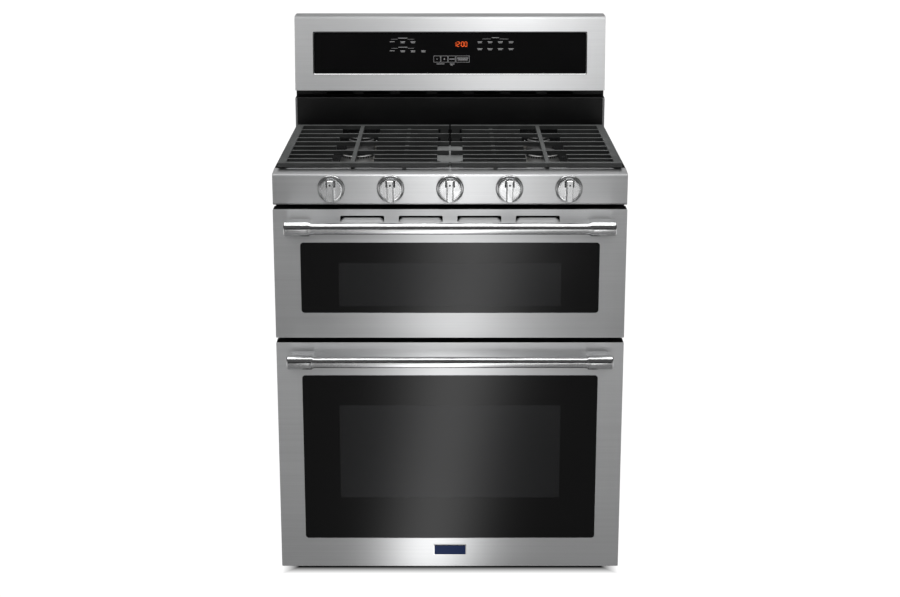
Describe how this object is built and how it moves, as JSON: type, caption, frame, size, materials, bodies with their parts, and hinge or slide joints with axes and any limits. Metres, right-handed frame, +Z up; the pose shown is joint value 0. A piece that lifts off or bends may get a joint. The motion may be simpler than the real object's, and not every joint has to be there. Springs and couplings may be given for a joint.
{
  "type": "freestanding gas range",
  "caption": "Freestanding stainless gas range with stacked ovens behind drop-down glass doors, bar handles, front knobs, cast-iron grates over sealed burners and a rear control console.",
  "frame": {"origin": "on the floor, at the middle of the bounding box's bottom face", "axes": "+X to the user's right when facing the doors, +Y from the user towards the wall, +Z up"},
  "size_m": [0.759, 0.735, 1.19],
  "materials": {
    "galvanised_steel": "matt zinc-coated sheet",
    "painted_steel": "satin charcoal paint",
    "leg_zinc": "satin",
    "oven_enamel": "glossy speckled porcelain enamel",
    "rack_chrome": "polished wire",
    "burner_steel": "aluminised, dull",
    "stainless": "fine horizontal brushing",
    "door_glass": "black printed border with a tinted see-through middle",
    "polished_handle": "satin to polished",
    "hinge_steel": "zinc plated",
    "manifold_brass": "dull",
    "stem_aluminium": "turned",
    "knob_satin_chrome": "satin",
    "cooktop_enamel": "glossy black porcelain enamel",
    "burner_aluminium": "cast, machined ring",
    "cast_iron": "satin enamelled",
    "control_glass": "black back-printed"
  },
  "bodies": {
    "cabinet": {"back_panel": "galvanised_steel", "bake_burner": "burner_steel", "base_frame": "galvanised_steel", "broil_burner": "burner_steel", "burner_cap_centre": "cast_iron", "burner_cap_front_left": "cast_iron", "burner_cap_front_right": "cast_iron", "burner_cap_rear_left": "cast_iron", "burner_cap_rear_right": "cast_iron", "burner_head_centre": "burner_aluminium", "burner_head_front_left": "burner_aluminium", "burner_head_front_right": "burner_aluminium", "burner_head_rear_left": "burner_aluminium", "burner_head_rear_right": "burner_aluminium", "console_housing": "stainless", "console_riser": "cooktop_enamel", "control_glass": "control_glass", "control_panel": "stainless", "cooktop_deck": "cooktop_enamel", "face_frame": "painted_steel", "gas_manifold": "manifold_brass", "knob_bezel_1": "knob_satin_chrome", "knob_bezel_2": "knob_satin_chrome", "knob_bezel_3": "knob_satin_chrome", "knob_bezel_4": "knob_satin_chrome", "knob_bezel_5": "knob_satin_chrome", "leg_front_left": "leg_zinc", "leg_front_right": "leg_zinc", "leg_rear_left": "leg_zinc", "leg_rear_right": "leg_zinc", "lower_door_hinge_left": "hinge_steel", "lower_door_hinge_right": "hinge_steel", "lower_oven_liner": "oven_enamel", "side_panel_left": "painted_steel", "side_panel_right": "painted_steel", "upper_door_hinge_left": "hinge_steel", "upper_door_hinge_right": "hinge_steel", "upper_oven_liner": "oven_enamel"},
    "upper_door": {"upper_door_skin": "stainless", "upper_door_glass": "door_glass", "upper_door_liner": "oven_enamel", "upper_door_handle": "polished_handle"},
    "upper_oven_rack": {"upper_rack": "rack_chrome"},
    "lower_door": {"lower_door_skin": "stainless", "lower_door_glass": "door_glass", "lower_door_liner": "oven_enamel", "lower_door_handle": "polished_handle"},
    "lower_oven_rack": {"lower_rack": "rack_chrome"},
    "valve_1": {"valve_stem_1": "stem_aluminium"},
    "control_knob_1": {"knob_1": "knob_satin_chrome"},
    "valve_2": {"valve_stem_2": "stem_aluminium"},
    "control_knob_2": {"knob_2": "knob_satin_chrome"},
    "valve_3": {"valve_stem_3": "stem_aluminium"},
    "control_knob_3": {"knob_3": "knob_satin_chrome"},
    "valve_4": {"valve_stem_4": "stem_aluminium"},
    "control_knob_4": {"knob_4": "knob_satin_chrome"},
    "valve_5": {"valve_stem_5": "stem_aluminium"},
    "control_knob_5": {"knob_5": "knob_satin_chrome"},
    "left_grate": {"grate_left": "cast_iron"},
    "right_grate": {"grate_right": "cast_iron"}
  },
  "joints": [
    {"name": "upper_door_hinge", "type": "hinge", "parent": "cabinet", "child": "upper_door", "pos_m": [0, -0.284, 0.574], "axis": [1, 0, 0], "range_deg": [0, 90], "stiffness_Nm_per_rad": 5, "springref_deg": -34.38},
    {"name": "lower_door_hinge", "type": "hinge", "parent": "cabinet", "child": "lower_door", "pos_m": [0, -0.284, 0.092], "axis": [1, 0, 0], "range_deg": [0, 90], "stiffness_Nm_per_rad": 10, "springref_deg": -22.92},
    {"name": "upper_rack_slide", "type": "slide", "parent": "cabinet", "child": "upper_oven_rack", "axis": [0, -1, 0], "range_m": [0, 0.15]},
    {"name": "lower_rack_slide", "type": "slide", "parent": "cabinet", "child": "lower_oven_rack", "axis": [0, -1, 0], "range_m": [0, 0.25]},
    {"name": "knob_1_push", "type": "slide", "parent": "cabinet", "child": "valve_1", "axis": [0, 1, 0], "range_m": [0, 0.004], "stiffness_N_per_m": 400, "springref_m": -0.004},
    {"name": "knob_2_push", "type": "slide", "parent": "cabinet", "child": "valve_2", "axis": [0, 1, 0], "range_m": [0, 0.004], "stiffness_N_per_m": 400, "springref_m": -0.004},
    {"name": "knob_3_push", "type": "slide", "parent": "cabinet", "child": "valve_3", "axis": [0, 1, 0], "range_m": [0, 0.004], "stiffness_N_per_m": 400, "springref_m": -0.004},
    {"name": "knob_4_push", "type": "slide", "parent": "cabinet", "child": "valve_4", "axis": [0, 1, 0], "range_m": [0, 0.004], "stiffness_N_per_m": 400, "springref_m": -0.004},
    {"name": "knob_5_push", "type": "slide", "parent": "cabinet", "child": "valve_5", "axis": [0, 1, 0], "range_m": [0, 0.004], "stiffness_N_per_m": 400, "springref_m": -0.004},
    {"name": "knob_1_turn", "type": "hinge", "parent": "valve_1", "child": "control_knob_1", "pos_m": [-0.254, -0.31, 0.886], "axis": [0, -1, 0], "range_deg": [0, 270]},
    {"name": "knob_2_turn", "type": "hinge", "parent": "valve_2", "child": "control_knob_2", "pos_m": [-0.127, -0.31, 0.886], "axis": [0, -1, 0], "range_deg": [0, 270]},
    {"name": "knob_3_turn", "type": "hinge", "parent": "valve_3", "child": "control_knob_3", "pos_m": [0, -0.31, 0.886], "axis": [0, -1, 0], "range_deg": [0, 270]},
    {"name": "knob_4_turn", "type": "hinge", "parent": "valve_4", "child": "control_knob_4", "pos_m": [0.127, -0.31, 0.886], "axis": [0, -1, 0], "range_deg": [0, 270]},
    {"name": "knob_5_turn", "type": "hinge", "parent": "valve_5", "child": "control_knob_5", "pos_m": [0.254, -0.31, 0.886], "axis": [0, -1, 0], "range_deg": [0, 270]},
    {"name": "left_grate_lift", "type": "slide", "parent": "cabinet", "child": "left_grate", "axis": [0, 0, 1], "range_m": [0, 0.08]},
    {"name": "right_grate_lift", "type": "slide", "parent": "cabinet", "child": "right_grate", "axis": [0, 0, 1], "range_m": [0, 0.08]}
  ],
  "couplings": [
    {"joint": "upper_rack_slide", "follows": "upper_door_hinge", "m_per_rad": 0.095},
    {"joint": "lower_rack_slide", "follows": "lower_door_hinge", "m_per_rad": 0.159}
  ]
}
